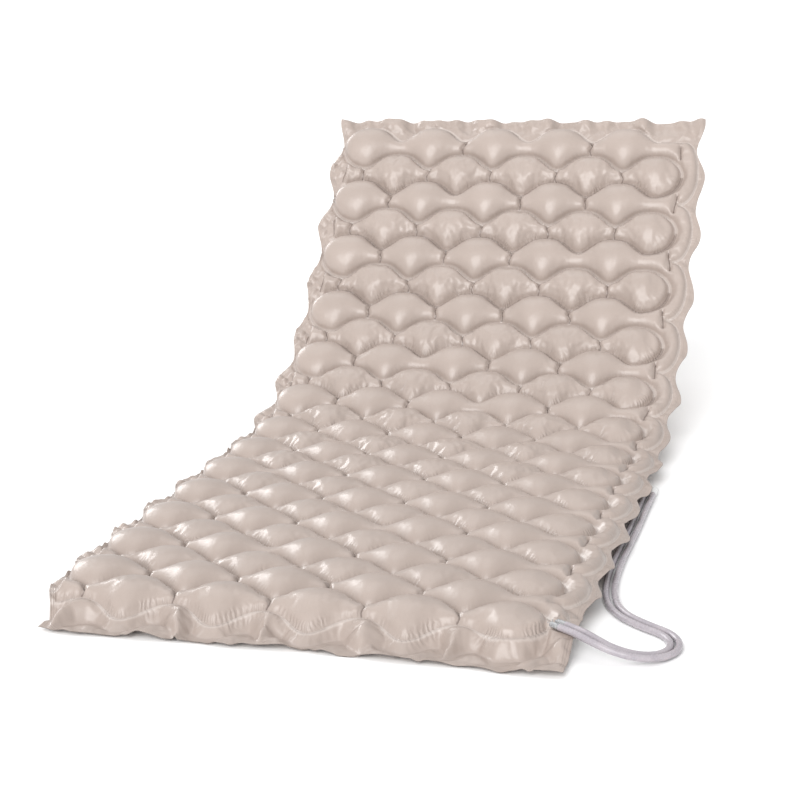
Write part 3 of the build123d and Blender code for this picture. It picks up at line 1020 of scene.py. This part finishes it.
def cut_piece(name, chosen, film, material):
    """A closed piece from chosen triangles of the top film, those of the bottom film, and their rim."""
    triangles = film["triangles"][chosen]
    used = np.unique(triangles)
    count = len(used)
    index = np.full(len(film["top"]), -1)
    index[used] = np.arange(count)
    upper = index[triangles]
    lower = upper[:, ::-1] + count
    rim = open_edges(upper, count)
    walls = np.column_stack([rim[:, 0], rim[:, 0] + count, rim[:, 1] + count, rim[:, 1]])
    mesh = bpy.data.meshes.new(name)
    points = np.vstack([film["top"][used], film["bottom"][used]])
    mesh.from_pydata(points.tolist(), [], [*upper.tolist(), *lower.tolist(), *walls.tolist()])
    mesh.polygons.foreach_set("use_smooth", [True] * len(mesh.polygons))
    for label in ("weld", "along", "slack", "groove_shade", "crease", "hem"):
        values = np.tile(film["facts"][label][used], 2)
        mesh.attributes.new(label, "FLOAT", "POINT").data.foreach_set("value", values.astype(np.float32))
    normals = np.vstack([film["top_normals"][used], film["bottom_normals"][used]])
    mesh.normals_split_custom_set_from_vertices(normals.tolist())
    mesh.materials.append(material)
    piece = bpy.data.objects.new(name, mesh)
    bpy.context.scene.collection.objects.link(piece)
    return piece


def body_at(row):
    """The CAD body of a row, and the hinge at its lower weld line if that one folds."""
    fold = row - FIRST_HINGE + 1
    names = ["foot_section"] + [f"fold_{n}" for n in range(1, len(hinges))] + ["back_section"]
    body = names[min(max(fold, 0), len(hinges))]
    hinge = fold - 1 if 1 <= fold <= len(hinges) else None
    return body, hinge


def carry(piece, row):
    """The piece rides on its row's body where the weld line below it doesn't fold. Where it folds, the piece
    only gets its transform baked into its mesh.
    """
    body, hinge = body_at(row)
    if hinge is None:
        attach(piece, body)
        return
    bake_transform(piece)


def make_rows(film, region, material):
    """One piece for each row of air cells."""
    for row in range(ROW_COUNT):
        piece = cut_piece(f"cell_row_{row + 1:02d}", region == row, film, material)
        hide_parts(f"air_cell_row_{row + 1:02d}")
        carry(piece, row)


def make_sides(film, region, row, material):
    """The right duct with its loops, and the loose left one, cut where the pad folds."""
    last = FIRST_HINGE + len(hinges) - 1
    sections = [("foot", 0, FIRST_HINGE)]
    sections += [(f"fold_{n + 1}", FIRST_HINGE + n, FIRST_HINGE + n + 1) for n in range(len(hinges) - 1)]
    sections += [("back", last, ROW_COUNT)]
    for name, start, end in sections:
        for side, code, fill in (("right", RIGHT_SIDE, 0.6), ("left", LEFT_SIDE, 0.1)):
            chosen = (region == code) & (row >= start) & (row < end)
            piece = cut_piece(f"{side}_duct_{name}", chosen, film, material)
            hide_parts(f"{side}_air_duct_{name}")
            carry(piece, start)


def make_borders(film, region, material):
    """The welded strips at the foot and the head."""
    strips = [
        ("foot_strip", "foot_border", FOOT_STRIP, "foot_section", (0.80, 0.060)),
        ("head_strip", "head_border", HEAD_STRIP, "back_section", (0.82, 0.040)),
    ]
    for name, node, code, body, flat in strips:
        piece = cut_piece(name, region == code, film, material)
        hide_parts(node)
        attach(piece, body)


def regions(flat, triangles):
    """The piece that each triangle belongs to, and the straight row that it lies in."""
    centre = flat[triangles].mean(axis=1)
    x, s = centre.T
    row = row_of(x, s)
    left, right = side_limits(s)
    within = (s > 0) & (s < ROW_COUNT * ROW_PITCH)
    region = np.where((x > right) & within, RIGHT_SIDE, row)
    region = np.where((x < left) & within, LEFT_SIDE, region)
    region = np.where((row < 0) & ~(within & ((x > right) | (x < left))), FOOT_STRIP, region)
    region = np.where((row >= ROW_COUNT) & ~(within & ((x > right) | (x < left))), HEAD_STRIP, region)
    region = np.where((x > right) & (s <= 0), FOOT_STRIP, region)
    region = np.where((x < left) & (s <= 0), FOOT_STRIP, region)
    region = np.where(((x > right) | (x < left)) & (s >= ROW_COUNT * ROW_PITCH), HEAD_STRIP, region)
    straight_row = np.clip(np.floor(s / ROW_PITCH).astype(int), 0, ROW_COUNT - 1)
    return region, straight_row


def make_film():
    """The whole film: laid out, blown up, folded and cut into its pieces."""
    flat, triangles, kinds, heights = flat_film()
    facts = film_facts(flat, kinds)
    start = start_shape(facts, kinds, heights)
    top = blow_up(start, triangles, facts, kinds)
    top = relax(top, triangles, kinds == 0, 1)
    top[:, 2] += fold_heights(facts) * (kinds == 0)
    bottom = under_film(top, facts)
    top, bottom = lift_round_ports(top, bottom)
    top, bottom = fold_up(top, 0.0014), fold_up(bottom, 0.0004)
    film = {
        "top": top,
        "bottom": bottom,
        "triangles": triangles,
        "facts": facts,
        "top_normals": point_normals(top, triangles),
        "bottom_normals": point_normals(bottom, triangles[:, ::-1]),
    }
    region, straight_row = regions(flat, triangles)
    material = film_material()
    make_rows(film, region, material)
    make_sides(film, region, straight_row, material)
    make_borders(film, region, material)


# ------------------------------------------------------------------------------ ports and hoses


def make_hose(name, node, route, material):
    """One free hose as a smooth NURBS tube along its route."""
    points = [(x, s + FOOT_Y, z) for x, s, z in route]
    curve = bpy.data.curves.new(name, "CURVE")
    curve.dimensions = "3D"
    curve.bevel_depth = HOSE_DIAMETER / 2
    curve.bevel_resolution = 8
    curve.use_fill_caps = True
    curve.resolution_u = 16
    spline = curve.splines.new("NURBS")
    spline.points.add(len(points) - 1)
    for point, place in zip(spline.points, points):
        point.co = (*place, 1.0)
    spline.order_u = 3
    spline.use_endpoint_u = True
    curve.materials.append(material)
    hose = bpy.data.objects.new(name, curve)
    bpy.context.scene.collection.objects.link(hose)
    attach(hose, "foot_section")
    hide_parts(node)


def make_hoses():
    """Both hoses, and the finishes of the moulded pieces at their ends."""
    milky = hose_material()
    make_hose("air_hose_a", "hose_a", HOSE_A_ROUTE, milky)
    make_hose("air_hose_b", "hose_b", HOSE_B_ROUTE, milky)
    clear, grey = clear_material(), connector_material()
    finishes = [("port_stub_a", clear), ("port_stub_b", clear)]
    finishes += [("hose_connector_a", grey), ("hose_connector_b", grey)]
    for node, material in finishes:
        mesh = frame["nodes"][node].data
        mesh.materials.clear()
        mesh.materials.append(material)


make_camera()
make_floor()
make_lights()
make_hoses()
make_film()
